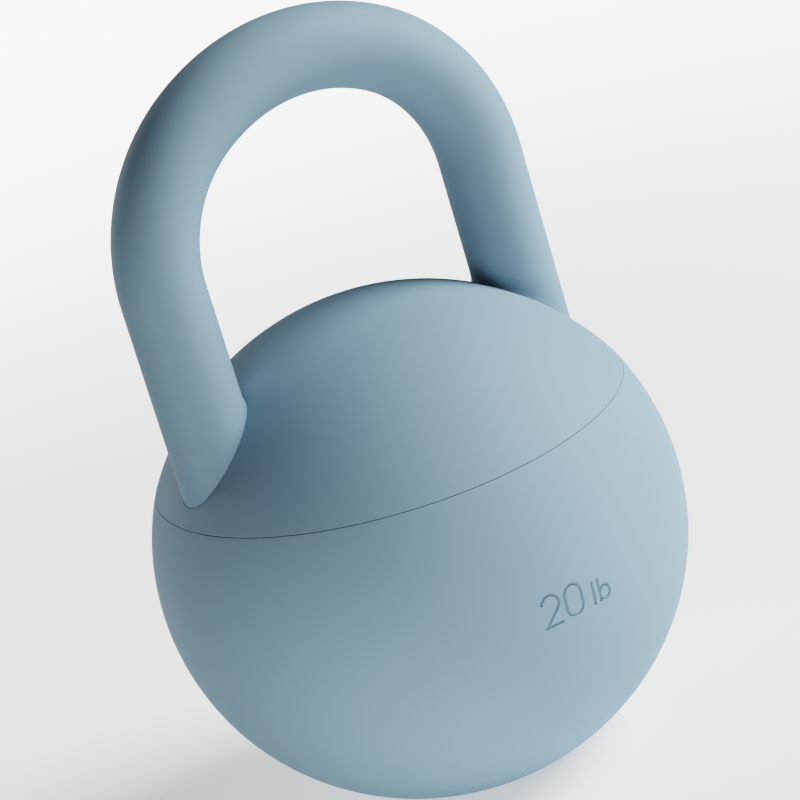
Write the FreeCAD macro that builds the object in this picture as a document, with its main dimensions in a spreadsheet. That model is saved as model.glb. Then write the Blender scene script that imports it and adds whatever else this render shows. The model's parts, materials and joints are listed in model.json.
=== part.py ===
import FreeCAD, Part
import math
import os

import Sketcher

# Kettlebell: a soft-skinned ball in two shells, clamped round an iron-sand ballast by one bolt
# from the base, with a steel handle core whose legs are anchored in the ballast.
#
# Millimetres. The origin is the middle of the base, +Z is up, the handle's arch stands in the
# XZ plane, and the weight mark faces -Y.

DIMENSIONS = {
    # outer form of the ball
    "ball_radius": 100.0,
    "belly_height": 91.0,
    "side_curve": 96.5,
    "base_curve": 103.88,
    "dome_curve": 104.0,
    "seam_height": 134.0,
    "parting_gap": 0.15,
    "edge_round": 0.15,
    # walls
    "skin_wall": 2.0,
    "liner_wall": 3.0,
    "gasket_thickness": 0.5,
    "spigot_radius": 84.2,
    "spigot_wall": 2.0,
    "spigot_foot": 128.0,
    # base
    "pad_radius": 34.8,
    "pad_clearance": 0.2,
    "pad_step": 0.8,
    "pad_chamfer": 0.6,
    "boss_radius": 24.0,
    "boss_top": 18.0,
    "rib_count": 6,
    "rib_thickness": 3.0,
    "rib_top": 20.0,
    # handle
    "leg_offset": 69.7,
    "shoulder_height": 216.1,
    "shoulder_curve": 62.2,
    "crown_curve": 76.9,
    "grip_radius": 15.75,
    "grip_foot": 138.6,
    "core_radius": 12.7,
    "core_wall": 3.0,
    "leg_foot": 69.0,
    # leg sockets
    "socket_radius": 19.5,
    "socket_clearance": 0.1,
    "collar_radius": 14.2,
    "collar_thickness": 3.0,
    "seal_thickness": 1.0,
    # anchor under the legs
    "plug_length": 25.0,
    "thread_depth": 20.0,
    "plate_end_radius": 17.0,
    "plate_thickness": 6.0,
    "thread_radius": 5.0,
    "bolt_clearance": 0.5,
    "bolt_length": 25.0,
    "head_flats": 17.0,
    "head_thickness": 6.4,
    "head_chamfer": 0.8,
    "washer_radius": 10.0,
    "washer_thickness": 2.0,
    "nut_length": 24.0,
    # tie bolt
    "tie_length": 50.0,
    "tie_head_radius": 8.0,
    "tie_head_thickness": 6.0,
    "tie_socket_flats": 7.0,
    "tie_socket_depth": 3.5,
    "tie_recess_radius": 15.5,
    "tie_recess_top": 11.8,
    "tie_washer_radius": 14.5,
    "tie_washer_thickness": 2.5,
    "tube_radius": 7.5,
    # ballast
    "fill_height": 126.3,
    # weight mark on the front; the hook of its first figure starts at an angle, in degrees
    "mark_depth": 0.5,
    "mark_stroke": 1.0,
    "mark_foot": 78.2,
    "mark_left": -13.0,
    "digit_height": 11.8,
    "digit_width": 6.9,
    "letter_height": 8.4,
    "bowl_radius": 2.3,
    "hook_start": 165.0,
    "mark_space": 2.6,
    "mark_margin": 3.0,
}


class Size:
    """A length that carries both its number and the sheet formula that gives it."""

    def __init__(self, number, formula):
        self.number = number
        self.formula = formula

    def __add__(self, other):
        other = as_size(other)
        return Size(self.number + other.number, f"({self.formula} + {other.formula})")

    def __sub__(self, other):
        other = as_size(other)
        return Size(self.number - other.number, f"({self.formula} - {other.formula})")

    def __mul__(self, other):
        other = as_size(other)
        return Size(self.number * other.number, f"({self.formula} * {other.formula})")

    def __truediv__(self, other):
        other = as_size(other)
        return Size(self.number / other.number, f"({self.formula} / {other.formula})")

    def __neg__(self):
        return Size(-self.number, f"(0 - {self.formula})")


def as_size(value):
    return value if isinstance(value, Size) else Size(float(value), f"{float(value)}")


def root(size):
    return Size(math.sqrt(size.number), f"sqrt({size.formula})")


def side_of(hypotenuse, other_side):
    """The second side of a right-angled triangle, such as an arc's reach at a given height."""
    return root(hypotenuse * hypotenuse - other_side * other_side)


class Sizes:
    """Every driving dimension as a Size, read from the sheet under its alias."""

    def __init__(self, sheet):
        for name in DIMENSIONS:
            setattr(self, name, Size(float(sheet.get(name)), f"{sheet.Name}.{name}"))


def make_sheet():
    """Put every driving dimension in a spreadsheet cell with an alias."""
    sheet = doc.addObject("Spreadsheet::Sheet", "sizes")
    for row, (name, number) in enumerate(DIMENSIONS.items(), start=1):
        sheet.set(f"A{row}", name)
        sheet.set(f"B{row}", str(number))
        sheet.setAlias(f"B{row}", name)
    doc.recompute()
    return sheet


doc = FreeCAD.newDocument("kettlebell")
ZERO = as_size(0)
S = Sizes(make_sheet())

# centres of the ball's arcs: the side arc is centred off the axis, the other two on it
SIDE_CENTRE = (S.ball_radius - S.side_curve, S.belly_height)
BASE_CENTRE = (ZERO, S.belly_height + side_of(S.base_curve - S.side_curve, SIDE_CENTRE[0]))
SEAM_RADIUS = SIDE_CENTRE[0] + side_of(S.side_curve, S.seam_height - S.belly_height)
DOME_CENTRE = (ZERO, S.seam_height - side_of(S.dome_curve, SEAM_RADIUS))

# rims of the skins, which leave a fine open line, and of the liners, which clamp the gasket
LOWER_RIM = S.seam_height - S.parting_gap / 2
UPPER_RIM = S.seam_height + S.parting_gap / 2
LOWER_LINER_RIM = S.seam_height - S.gasket_thickness / 2
UPPER_LINER_RIM = S.seam_height + S.gasket_thickness / 2

# undersides and floors of the bowl's layers
SKIN_FOOT = S.pad_step
LINER_FOOT = SKIN_FOOT + S.skin_wall
LINER_FLOOR = LINER_FOOT + S.liner_wall

# levels in a leg socket, from the grip's end downwards
COLLAR_FOOT = S.grip_foot - S.collar_thickness
SEAL_FOOT = COLLAR_FOOT - S.seal_thickness

# levels of the anchor, from the leg ends downwards
PLATE_FOOT = S.leg_foot - S.plate_thickness
WASHER_FOOT = PLATE_FOOT - S.washer_thickness
BOLT_HEAD_FOOT = WASHER_FOOT - S.head_thickness
NUT_FOOT = PLATE_FOOT - S.nut_length
CLEARANCE_RADIUS = S.thread_radius + S.bolt_clearance

# levels of the tie bolt, from its recess downwards
TIE_WASHER_FOOT = S.tie_recess_top - S.tie_washer_thickness
TIE_HEAD_FOOT = TIE_WASHER_FOOT - S.tie_head_thickness

# how far an edge may lie from the place where it is looked for
LEVEL_TOLERANCE = 0.01
REACH_TOLERANCE = 0.05


# ---------------------------------------------------------------------------------------------
# sketches bound to the sheet


def bind(item, path, size):
    item.setExpression(path, as_size(size).formula)


def vector(point):
    return FreeCAD.Vector(point[0].number, point[1].number, 0)


def new_body(name):
    return doc.addObject("PartDesign::Body", name)


def new_sketch(body, role, name, height=None):
    """A sketch on one of the body's own origin planes, raised by height along its normal."""
    sketch = body.newObject("Sketcher::SketchObject", name)
    plane = next(item for item in body.Origin.OriginFeatures if item.Role == role)
    sketch.AttachmentSupport = [(plane, "")]
    sketch.MapMode = "FlatFace"
    if height is not None:
        bind(sketch, "AttachmentOffset.Base.z", height)
    return sketch


def hold(sketch, constraint, size):
    """Add a dimension to a sketch and bind it to the sheet."""
    index = sketch.addConstraint(constraint)
    bind(sketch, f"Constraints[{index}]", size)


def pin(sketch, geometry, point, place, axes="xy"):
    """Hold a point of a sketch at a place (x, y), or only along the axes named."""
    kinds = {"x": ("DistanceX", -2, place[0]), "y": ("DistanceY", -1, place[1])}
    for axis in axes:
        kind, through_origin, size = kinds[axis]
        if size.number == 0:
            sketch.addConstraint(Sketcher.Constraint("PointOnObject", geometry, point, through_origin))
        else:
            constraint = Sketcher.Constraint(kind, -1, 1, geometry, point, size.number)
            hold(sketch, constraint, size)


def add_arc(sketch, centre, start, end):
    """Add the shorter arc from start to end, and say which of its ends is which."""
    from_centre = vector(start) - vector(centre)
    to_end = vector(end) - vector(centre)
    turns_left = from_centre.cross(to_end).z > 0
    first, last = (from_centre, to_end) if turns_left else (to_end, from_centre)
    angles = [math.atan2(ray.y, ray.x) for ray in (first, last)]
    circle = Part.Circle(vector(centre), FreeCAD.Vector(0, 0, 1), from_centre.Length)
    geometry = sketch.addGeometry(Part.ArcOfCircle(circle, angles[0], angles[1]))
    pin(sketch, geometry, 3, centre)
    return geometry, ((1, 2) if turns_left else (2, 1))


def held_axes(step):
    """The axes that hold a step's end: an arc's radius already gives it one of the two."""
    if len(step) == 1:
        return "xy"
    ray = vector(step[-1]) - vector(step[0])
    return "y" if abs(ray.x) > abs(ray.y) else "x"


def draw(sketch, start, steps, closed=True):
    """Draw a chain of lines and arcs whose corners are held by the sheet.

    A step is (corner,) for a line to that corner, or (centre, corner) for an arc about centre.
    A closed chain ends in a line back to the start, unless its last step already does.
    """
    corner = start
    joint = None
    opening = None
    if closed and steps[-1][-1] is not start:
        steps = steps + [(start,)]
    for step in steps:
        end = step[-1]
        if len(step) == 1:
            geometry = sketch.addGeometry(Part.LineSegment(vector(corner), vector(end)))
            ends = (1, 2)
        else:
            geometry, ends = add_arc(sketch, step[0], corner, end)
        if joint is None:
            closing = steps[-1] if closed else (start,)
            pin(sketch, geometry, ends[0], start, held_axes(closing))
            opening = (geometry, ends[0])
        else:
            sketch.addConstraint(Sketcher.Constraint("Coincident", *joint, geometry, ends[0]))
        joint = (geometry, ends[1])
        if end is start:
            sketch.addConstraint(Sketcher.Constraint("Coincident", *joint, *opening))
        else:
            pin(sketch, geometry, ends[1], end, held_axes(step))
        corner = end


def draw_circle(sketch, centre, radius):
    circle = Part.Circle(vector(centre), FreeCAD.Vector(0, 0, 1), radius.number)
    geometry = sketch.addGeometry(circle)
    pin(sketch, geometry, 3, centre)
    hold(sketch, Sketcher.Constraint("Radius", geometry, radius.number), radius)


def draw_hexagon(sketch, flats):
    """Draw a regular hexagon about the origin, with its corners on the X axis."""
    corner = flats / root(as_size(3))
    half = corner / 2
    rise = flats / 2
    points = [(corner, ZERO), (half, rise), (-half, rise), (-corner, ZERO), (-half, -rise), (half, -rise)]
    draw(sketch, points[0], [(point,) for point in points[1:]])


# ---------------------------------------------------------------------------------------------
# features


def revolve(body, sketch, name):
    feature = body.newObject("PartDesign::Revolution", name)
    feature.Profile = sketch
    feature.ReferenceAxis = (sketch, ["V_Axis"])
    feature.Angle = 360.0
    return feature


def pad(body, sketch, name, length, both_ways=False):
    feature = body.newObject("PartDesign::Pad", name)
    feature.Profile = sketch
    bind(feature, "Length", length)
    if both_ways:
        feature.SideType = "Symmetric"
    return feature


def pocket(body, sketch, name, depth, upwards=False):
    """Cut a sketch into the body, and make sure that it removed something."""
    doc.recompute()
    before = body.Shape.Volume
    feature = body.newObject("PartDesign::Pocket", name)
    feature.Profile = sketch
    feature.Reversed = upwards
    bind(feature, "Length", depth)
    doc.recompute()
    if body.Shape.Volume >= before:
        raise ValueError(f"{name} cuts nothing")
    return feature


def edges_at(shape, radius, height):
    """Names of the circular edges about the Z axis with this radius and height."""
    names = []
    for number, edge in enumerate(shape.Edges, start=1):
        box = edge.BoundBox
        strays = [abs(box.ZMin - height.number), abs(box.ZMax - height.number)]
        if max(strays) < LEVEL_TOLERANCE and abs(box.XMax - radius.number) < REACH_TOLERANCE:
            names.append(f"Edge{number}")
    if not names:
        raise ValueError("no edge there")
    return names


def soften(body, kind, name, radius, height, size):
    """Fillet or chamfer the circular edge at this radius and height."""
    doc.recompute()
    base = body.Tip
    feature = body.newObject(f"PartDesign::{kind}", name)
    feature.Base = (base, edges_at(base.Shape, radius, height))
    bind(feature, "Radius" if kind == "Fillet" else "Size", size)
    return feature


def boolean(kind, label, base, tools):
    """A Part boolean: Cut takes the tools out of base, Fuse and Common join them all."""
    for number, tool in enumerate(tools, start=1):
        result = doc.addObject(f"Part::{kind}", f"{label}_{kind.lower()}_{number}")
        result.Base = base
        result.Tool = tool
        base = result
    base.Label = label
    return base


def mirrored(source, label):
    """The same piece on the other side of the YZ plane."""
    result = doc.addObject("Part::Mirroring", label)
    result.Source = source
    result.Normal = (1, 0, 0)
    return result


def grouped(pieces, label):
    """Identical fasteners as separate solids of one node."""
    group = doc.addObject("Part::Compound", label)
    group.Links = pieces
    return group


def turned_body(name, start, steps):
    """A body revolved about its own Z axis from one closed outline."""
    body = new_body(name)
    sketch = new_sketch(body, "XZ_Plane", f"{name}_outline")
    draw(sketch, start, steps)
    revolve(body, sketch, f"{name}_turned")
    return body


def ring_outline(inner, outer, foot, top):
    """Corners of a rectangle beside the axis, for a ring or a washer."""
    return (inner, foot), [((outer, foot),), ((outer, top),), ((inner, top),)]


def on_leg(body):
    """Stand a body that is turned about its own axis on the right leg's axis."""
    bind(body, "Placement.Base.x", S.leg_offset)
    return body


# ---------------------------------------------------------------------------------------------
# ball form: the same arcs at any depth under the surface


def base_reach(depth, height):
    """Radius of the base arc, offset inwards by depth, at a height."""
    return side_of(S.base_curve - depth, BASE_CENTRE[1] - height)


def side_reach(depth, height):
    """Radius of the side arc, offset inwards by depth, at a height."""
    return SIDE_CENTRE[0] + side_of(S.side_curve - depth, height - S.belly_height)


def dome_reach(depth, height):
    """Radius of the dome arc, offset inwards by depth, at a height."""
    return side_of(S.dome_curve - depth, height - DOME_CENTRE[1])


def base_to_side(depth):
    """The point where the base arc runs into the side arc, both offset inwards by depth."""
    share = (S.base_curve - depth) / (S.base_curve - S.side_curve)
    return (SIDE_CENTRE[0] * share, BASE_CENTRE[1] - (BASE_CENTRE[1] - S.belly_height) * share)


def bowl_wall(depth, thickness, hole_radius, rim):
    """Closed outline of one bowl layer, from its flat bottom to its rim."""
    foot = S.pad_step + depth
    floor = foot + thickness
    inner = depth + thickness
    start = (hole_radius, foot)
    steps = [
        ((base_reach(depth, foot), foot),),
        (BASE_CENTRE, base_to_side(depth)),
        (SIDE_CENTRE, (side_reach(depth, rim), rim)),
        ((side_reach(inner, rim), rim),),
        (SIDE_CENTRE, base_to_side(inner)),
        (BASE_CENTRE, (base_reach(inner, floor), floor)),
        ((hole_radius, floor),),
    ]
    return start, steps


def dome_wall(depth, thickness, rim):
    """Closed outline of one dome layer, from its rim to the axis."""
    inner = depth + thickness
    start = (dome_reach(inner, rim), rim)
    steps = [
        ((dome_reach(depth, rim), rim),),
        (DOME_CENTRE, (ZERO, DOME_CENTRE[1] + S.dome_curve - depth)),
        ((ZERO, DOME_CENTRE[1] + S.dome_curve - inner),),
        (DOME_CENTRE, start),
    ]
    return start, steps


# ---------------------------------------------------------------------------------------------
# shells


def make_lower_liner():
    """Rigid bowl with a central boss for the tie bolt and ribs that key the ballast."""
    outline = bowl_wall(S.skin_wall, S.liner_wall, CLEARANCE_RADIUS, LOWER_LINER_RIM)
    body = turned_body("lower_liner", *outline)
    boss = new_sketch(body, "XY_Plane", "boss_outline", LINER_FOOT)
    draw_circle(boss, (ZERO, ZERO), S.boss_radius)
    draw_circle(boss, (ZERO, ZERO), CLEARANCE_RADIUS)
    pad(body, boss, "boss", S.boss_top - LINER_FOOT)

    recess = new_sketch(body, "XY_Plane", "recess_outline", LINER_FOOT)
    draw_circle(recess, (ZERO, ZERO), S.tie_recess_radius)
    pocket(body, recess, "recess", S.tie_recess_top - LINER_FOOT, upwards=True)

    middle = S.skin_wall + S.liner_wall / 2
    rib_foot = LINER_FLOOR - S.liner_wall / 2
    rib = new_sketch(body, "XZ_Plane", "rib_outline")
    start = (S.boss_radius - S.rib_thickness, rib_foot)
    steps = [
        ((base_reach(middle, rib_foot), rib_foot),),
        ((side_reach(middle, S.rib_top), S.rib_top),),
        ((S.boss_radius - S.rib_thickness, S.boss_top - S.rib_thickness / 2),),
    ]
    draw(rib, start, steps)
    web = pad(body, rib, "rib", S.rib_thickness, both_ways=True)
    doc.recompute()

    pattern = body.newObject("PartDesign::PolarPattern", "ribs")
    pattern.Originals = [web]
    pattern.Axis = (rib, ["V_Axis"])
    pattern.Angle = 360.0
    bind(pattern, "Occurrences", S.rib_count)
    body.Tip = pattern
    return body


def make_lower_skin(mark):
    """Soft bowl skin with a hole for the base pad, a rounded rim and the weight mark."""
    hole = S.pad_radius + S.pad_clearance
    body = turned_body("lower_skin_form", *bowl_wall(ZERO, S.skin_wall, hole, LOWER_RIM))
    rim = side_reach(ZERO, LOWER_RIM)
    soften(body, "Fillet", "lower_rim_round", rim, LOWER_RIM, S.edge_round)
    return boolean("Cut", "lower_skin", body, [mark])


def make_leg_bore():
    """The stepped hole that a leg needs through the dome: core, then collar, then grip."""
    core = S.core_radius + S.socket_clearance
    top = S.shoulder_height
    foot = S.spigot_foot - S.liner_wall
    start = (ZERO, foot)
    steps = [
        ((core, foot),),
        ((core, SEAL_FOOT),),
        ((S.collar_radius, SEAL_FOOT),),
        ((S.collar_radius, S.grip_foot),),
        ((S.grip_radius, S.grip_foot),),
        ((S.grip_radius, top),),
        ((ZERO, top),),
    ]
    return on_leg(turned_body("leg_bore_right", start, steps))


def make_upper_skin(bores):
    """Soft dome skin with a rounded rim and the two leg openings."""
    body = turned_body("upper_skin_form", *dome_wall(ZERO, S.skin_wall, UPPER_RIM))
    rim = dome_reach(ZERO, UPPER_RIM)
    soften(body, "Fillet", "upper_rim_round", rim, UPPER_RIM, S.edge_round)
    return boolean("Cut", "upper_skin", body, bores)


def make_upper_liner(bores):
    """Rigid dome with a spigot that centres it in the bowl and a socket for each leg."""
    shell = turned_body("dome_form", *dome_wall(S.skin_wall, S.liner_wall, UPPER_LINER_RIM))
    inner = S.spigot_radius - S.spigot_wall
    crown = UPPER_LINER_RIM + S.liner_wall
    spigot = turned_body("spigot", *ring_outline(inner, S.spigot_radius, S.spigot_foot, crown))

    socket = new_body("socket_right")
    outline = new_sketch(socket, "XY_Plane", "socket_outline", S.spigot_foot)
    draw_circle(outline, (ZERO, ZERO), S.socket_radius)
    pad(socket, outline, "socket_pad", S.ball_radius)
    on_leg(socket)

    start = (ZERO, S.spigot_foot)
    steps = [
        ((S.spigot_radius, S.spigot_foot),),
        ((S.spigot_radius, UPPER_LINER_RIM),),
        ((dome_reach(S.skin_wall, UPPER_LINER_RIM), UPPER_LINER_RIM),),
        (DOME_CENTRE, (ZERO, DOME_CENTRE[1] + S.dome_curve - S.skin_wall)),
    ]
    envelope = turned_body("dome_envelope", start, steps)
    right = boolean("Common", "trimmed_socket_right", socket, [envelope])
    left = mirrored(right, "trimmed_socket_left")
    whole = boolean("Fuse", "dome_with_sockets", shell, [spigot, right, left])
    return boolean("Cut", "upper_liner", whole, bores)


def make_seam_gasket():
    """Flat ring clamped between the rims of the two liners."""
    inner = side_reach(S.skin_wall + S.liner_wall, LOWER_LINER_RIM)
    outer = dome_reach(S.skin_wall, UPPER_LINER_RIM)
    outline = ring_outline(inner, outer, LOWER_LINER_RIM, UPPER_LINER_RIM)
    return turned_body("seam_gasket", *outline)


def make_base_pad():
    """Anti-slip pad, let into the flat base and standing a little proud of it."""
    body = new_body("base_pad")
    sketch = new_sketch(body, "XY_Plane", "pad_outline")
    draw_circle(sketch, (ZERO, ZERO), S.pad_radius)
    pad(body, sketch, "pad_disc", LINER_FOOT)
    soften(body, "Chamfer", "pad_edge", S.pad_radius, ZERO, S.pad_chamfer)
    return body


# ---------------------------------------------------------------------------------------------
# handle


def make_bent_tube(name, outer, inner, foot):
    """A tube along the handle: two straight legs, two shoulder arcs and a wider crown arc."""
    inset = S.leg_offset - S.shoulder_curve
    drop = side_of(S.crown_curve - S.shoulder_curve, inset)
    share = S.crown_curve / (S.crown_curve - S.shoulder_curve)
    crown_centre = (ZERO, S.shoulder_height - drop)
    meeting = (inset * share, crown_centre[1] + drop * share)

    body = new_body(name)
    route = new_sketch(body, "XZ_Plane", f"{name}_route")
    start = (S.leg_offset, foot)
    steps = [
        ((S.leg_offset, S.shoulder_height),),
        ((inset, S.shoulder_height), meeting),
        (crown_centre, (-meeting[0], meeting[1])),
        ((-inset, S.shoulder_height), (-S.leg_offset, S.shoulder_height)),
        ((-S.leg_offset, foot),),
    ]
    draw(route, start, steps, closed=False)
    section = new_sketch(body, "XY_Plane", f"{name}_section", foot)
    draw_circle(section, (S.leg_offset, ZERO), outer)
    draw_circle(section, (S.leg_offset, ZERO), inner)
    doc.recompute()

    tube = body.newObject("PartDesign::AdditivePipe", f"{name}_tube")
    tube.Profile = section
    tube.Spine = (route, [f"Edge{number + 1}" for number in range(len(steps))])
    return body


def make_collar():
    """Steel ring welded on the core, which presses the dome down."""
    outline = ring_outline(S.core_radius, S.collar_radius, COLLAR_FOOT, S.grip_foot)
    return on_leg(turned_body("core_collar_right", *outline))


def make_seal():
    """Sealing washer between a collar and its socket."""
    outline = ring_outline(S.core_radius, S.collar_radius, SEAL_FOOT, COLLAR_FOOT)
    return on_leg(turned_body("leg_seal_right", *outline))


# ---------------------------------------------------------------------------------------------
# anchor


def make_plug():
    """Tapped plug, flush with the end of a leg."""
    bore = S.core_radius - S.core_wall
    start = (ZERO, S.leg_foot + S.thread_depth)
    steps = [
        ((S.thread_radius, S.leg_foot + S.thread_depth),),
        ((S.thread_radius, S.leg_foot),),
        ((bore, S.leg_foot),),
        ((bore, S.leg_foot + S.plug_length),),
        ((ZERO, S.leg_foot + S.plug_length),),
    ]
    return on_leg(turned_body("leg_plug_right", start, steps))


def make_anchor_plate():
    """Steel bar across the leg ends, with ends round the legs' axes and three holes."""
    body = new_body("anchor_plate")
    sketch = new_sketch(body, "XY_Plane", "plate_outline", PLATE_FOOT)
    half, end = S.leg_offset, S.plate_end_radius
    start = (-half, -end)
    steps = [
        ((half, -end),),
        ((half, ZERO), (half + end, ZERO)),
        ((half, ZERO), (half, end)),
        ((-half, end),),
        ((-half, ZERO), (-half - end, ZERO)),
        ((-half, ZERO), start),
    ]
    draw(sketch, start, steps)
    pad(body, sketch, "plate", S.plate_thickness)
    holes = new_sketch(body, "XY_Plane", "plate_holes", PLATE_FOOT)
    for place in (-half, ZERO, half):
        draw_circle(holes, (place, ZERO), CLEARANCE_RADIUS)
    pocket(body, holes, "holes", S.plate_thickness, upwards=True)
    return body


def make_anchor_bolt():
    """Hexagon bolt, head down, through washer and plate into a leg plug."""
    body = new_body("anchor_bolt_right")
    head = new_sketch(body, "XY_Plane", "bolt_head_outline", BOLT_HEAD_FOOT)
    draw_hexagon(head, S.head_flats)
    pad(body, head, "bolt_head", S.head_thickness)
    shank = new_sketch(body, "XY_Plane", "bolt_shank_outline", WASHER_FOOT)
    draw_circle(shank, (ZERO, ZERO), S.thread_radius)
    pad(body, shank, "bolt_shank", S.bolt_length)
    tip_height = WASHER_FOOT + S.bolt_length
    soften(body, "Chamfer", "bolt_tip", S.thread_radius, tip_height, S.head_chamfer)
    return on_leg(body)


def make_anchor_washer():
    outline = ring_outline(CLEARANCE_RADIUS, S.washer_radius, WASHER_FOOT, PLATE_FOOT)
    return on_leg(turned_body("anchor_washer_right", *outline))


def make_coupling_nut():
    """Long hexagon nut under the middle of the plate."""
    body = new_body("coupling_nut")
    sketch = new_sketch(body, "XY_Plane", "nut_outline", NUT_FOOT)
    draw_hexagon(sketch, S.head_flats)
    draw_circle(sketch, (ZERO, ZERO), S.thread_radius)
    pad(body, sketch, "nut", S.nut_length)
    return body


# ---------------------------------------------------------------------------------------------
# tie bolt


def make_tie_bolt():
    """Low-head socket screw from the base up into the coupling nut."""
    start = (ZERO, TIE_HEAD_FOOT)
    tip = TIE_WASHER_FOOT + S.tie_length
    steps = [
        ((S.tie_head_radius, TIE_HEAD_FOOT),),
        ((S.tie_head_radius, TIE_WASHER_FOOT),),
        ((S.thread_radius, TIE_WASHER_FOOT),),
        ((S.thread_radius, tip - S.head_chamfer),),
        ((S.thread_radius - S.head_chamfer, tip),),
        ((ZERO, tip),),
    ]
    body = turned_body("tie_bolt", start, steps)
    key = new_sketch(body, "XY_Plane", "key_outline", TIE_HEAD_FOOT)
    draw_hexagon(key, S.tie_socket_flats)
    pocket(body, key, "key_socket", S.tie_socket_depth, upwards=True)
    return body


def make_tie_washer():
    outline = ring_outline(CLEARANCE_RADIUS, S.tie_washer_radius, TIE_WASHER_FOOT, S.tie_recess_top)
    return turned_body("tie_washer", *outline)


def make_tie_tube():
    """Thin tube that keeps the ballast off the tie bolt."""
    outline = ring_outline(CLEARANCE_RADIUS, S.tube_radius, S.boss_top, NUT_FOOT)
    return turned_body("tie_tube", *outline)


# ---------------------------------------------------------------------------------------------
# ballast


def make_ballast(neighbours):
    """The poured mass: the bowl up to the fill height, less everything that is cast into it."""
    depth = S.skin_wall + S.liner_wall
    start = (ZERO, LINER_FLOOR)
    steps = [
        ((base_reach(depth, LINER_FLOOR), LINER_FLOOR),),
        (BASE_CENTRE, base_to_side(depth)),
        (SIDE_CENTRE, (side_reach(depth, S.fill_height), S.fill_height)),
        ((ZERO, S.fill_height),),
    ]
    poured = turned_body("poured_form", start, steps)

    above = S.fill_height + S.liner_wall
    start = (ZERO, WASHER_FOOT)
    steps = [
        ((CLEARANCE_RADIUS, WASHER_FOOT),),
        ((CLEARANCE_RADIUS, S.leg_foot),),
        ((S.core_radius, S.leg_foot),),
        ((S.core_radius, above),),
        ((ZERO, above),),
    ]
    leg_space = on_leg(turned_body("leg_space_right", start, steps))

    start = (ZERO, LINER_FOOT)
    steps = [
        ((S.tie_recess_radius, LINER_FOOT),),
        ((S.tie_recess_radius, S.tie_recess_top),),
        ((S.tube_radius, S.tie_recess_top),),
        ((S.tube_radius, S.leg_foot),),
        ((ZERO, S.leg_foot),),
    ]
    tie_space = turned_body("tie_space", start, steps)
    tools = [leg_space, mirrored(leg_space, "leg_space_left"), tie_space]
    return boolean("Cut", "ballast", poured, tools + neighbours)


# ---------------------------------------------------------------------------------------------
# weight mark: plain single-stroke figures "20 lb", each stroke with round ends


def line(x_start, z_start, x_end, z_end):
    return Part.makeLine(FreeCAD.Vector(x_start, 0, z_start), FreeCAD.Vector(x_end, 0, z_end))


def bow(x_centre, z_centre, radius, start_degrees, end_degrees):
    """An arc in the XZ plane, turning from +X towards +Z as the angle grows."""
    points = []
    for angle in (start_degrees, (start_degrees + end_degrees) / 2, end_degrees):
        across = x_centre + radius * math.cos(math.radians(angle))
        up = z_centre + radius * math.sin(math.radians(angle))
        points.append(FreeCAD.Vector(across, 0, up))
    return Part.Arc(*points).toShape()


def stadium(left, foot, width, height):
    """A closed wire: two upright sides joined by half circles."""
    radius = width / 2
    low, high = foot + radius, foot + height - radius
    sides = [line(left, high, left, low), line(left + width, low, left + width, high)]
    ends = [bow(left + radius, low, radius, 180, 360), bow(left + radius, high, radius, 0, 180)]
    return Part.Wire([sides[0], ends[0], sides[1], ends[1]])


def figure_two(left, foot, width, height, half_stroke):
    """An open hook at the top, a straight slope that leaves it at a tangent, and a flat foot."""
    radius = width / 2
    centre_x, centre_z = left + radius, foot + height - radius
    to_corner = math.degrees(math.atan2(foot - centre_z, -radius))
    touch = to_corner + math.degrees(math.acos(radius / math.hypot(radius, centre_z - foot)))
    touch_x = centre_x + radius * math.cos(math.radians(touch))
    touch_z = centre_z + radius * math.sin(math.radians(touch))
    hook = bow(centre_x, centre_z, radius, S.hook_start.number, touch)
    slope = line(touch_x, touch_z, left, foot)
    wire = Part.Wire([hook, slope, line(left, foot, left + width, foot)])
    return wire.makeOffset2D(half_stroke, fill=True, openResult=True)


def ring(left, foot, width, height, half_stroke):
    """A closed stroke about a stadium: the nought, or the round of a letter."""
    faces = []
    for out in (half_stroke, -half_stroke):
        outline = stadium(left - out, foot - out, width + 2 * out, height + 2 * out)
        faces.append(Part.Face(outline))
    return faces[0].cut(faces[1])


def upright(x, foot, height, half_stroke):
    """A straight upright stroke with round ends."""
    outline = stadium(x - half_stroke, foot - half_stroke, 2 * half_stroke, height + 2 * half_stroke)
    return Part.Face(outline)


def mark_faces():
    """The four characters as flat strokes in the XZ plane, all on one level."""
    foot, half_stroke = S.mark_foot.number, S.mark_stroke.number / 2
    width, height = S.digit_width.number, S.digit_height.number
    tall, bowl = S.letter_height.number, 2 * S.bowl_radius.number
    two = S.mark_left.number
    nought = two + width + S.mark_space.number
    first_stem = nought + width + 2 * S.mark_space.number
    second_stem = first_stem + S.mark_space.number
    return [
        figure_two(two, foot, width, height, half_stroke),
        ring(nought, foot, width, height, half_stroke),
        upright(first_stem, foot, tall, half_stroke),
        upright(second_stem, foot, tall, half_stroke),
        ring(second_stem, foot, bowl, bowl + half_stroke, half_stroke),
    ]


def make_mark():
    """The cutter for the weight mark: the strokes, kept only to a fixed depth under the skin."""
    to_front = FreeCAD.Vector(0, -(S.ball_radius + S.mark_margin).number, 0)
    bars = [face.extrude(to_front) for face in mark_faces()]
    strokes = doc.addObject("Part::Feature", "mark_strokes")
    strokes.Shape = bars[0].multiFuse(bars[1:])
    strokes.Placement = FreeCAD.Placement()

    low = S.mark_foot - S.mark_margin
    high = S.mark_foot + S.digit_height + S.mark_margin
    start = (side_reach(S.mark_depth, low), low)
    steps = [
        ((S.ball_radius + S.mark_margin, low),),
        ((S.ball_radius + S.mark_margin, high),),
        ((side_reach(S.mark_depth, high), high),),
        (SIDE_CENTRE, start),
    ]
    band = turned_body("mark_band", start, steps)
    return boolean("Common", "mark", band, [strokes])


# ---------------------------------------------------------------------------------------------
# assembly


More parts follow.
